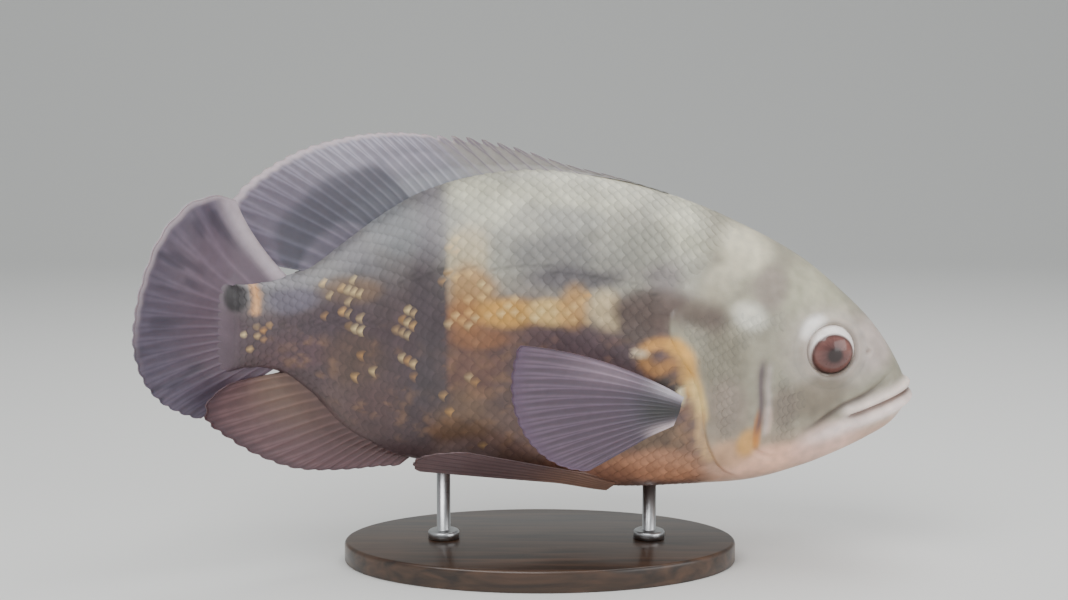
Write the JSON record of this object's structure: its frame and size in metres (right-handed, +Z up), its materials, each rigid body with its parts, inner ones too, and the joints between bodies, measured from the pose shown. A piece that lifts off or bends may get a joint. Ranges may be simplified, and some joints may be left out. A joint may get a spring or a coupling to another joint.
{
  "type": "oscar fish",
  "caption": "Grown oscar cichlid, life size, held in a slow turn with its tail swung to one side, on a plain low display stand with short rods.",
  "frame": {"origin": "centre of the display stand's underside", "axes": "+X towards the snout, +Y to the fish's left, +Z up"},
  "size_m": [0.2811, 0.1151, 0.1634],
  "materials": {
    "skin_head": "moist scaled skin, grey olive with a pale brow",
    "skin_lips": "moist bare skin, pale pink to salmon",
    "skin_gill_cover": "moist scaled skin, grey olive with an orange front edge",
    "skin_flank": "moist scaled skin, plum brown with gold speckles",
    "eye": "wet and glossy, dark red brown iris",
    "fin_back": "thin rayed membrane, blue grey with a pale edge",
    "fin_tail": "thin rayed membrane, dark purple with a pale edge",
    "fin_belly": "thin rayed membrane, reddish brown",
    "fin_side": "thin rayed membrane, violet grey with pinkish rays",
    "stand_wood": "dark stained, satin",
    "stand_steel": "brushed"
  },
  "bodies": {
    "root": {"head": "skin_head", "lower_jaw": "skin_lips", "gill_cover_right": "skin_gill_cover", "gill_cover_left": "skin_gill_cover", "trunk": "skin_flank", "tail_stem": "skin_flank", "eye_right": "eye", "eye_left": "eye", "dorsal_fin_spiny": "fin_back", "dorsal_fin_soft": "fin_back", "caudal_fin": "fin_tail", "anal_fin": "fin_belly", "pectoral_fin_right": "fin_side", "pectoral_fin_left": "fin_side", "pelvic_fin_right": "fin_belly", "pelvic_fin_left": "fin_belly", "stand_base": "stand_wood", "stand_rod_front": "stand_steel", "stand_rod_rear": "stand_steel"}
  },
  "joints": []
}
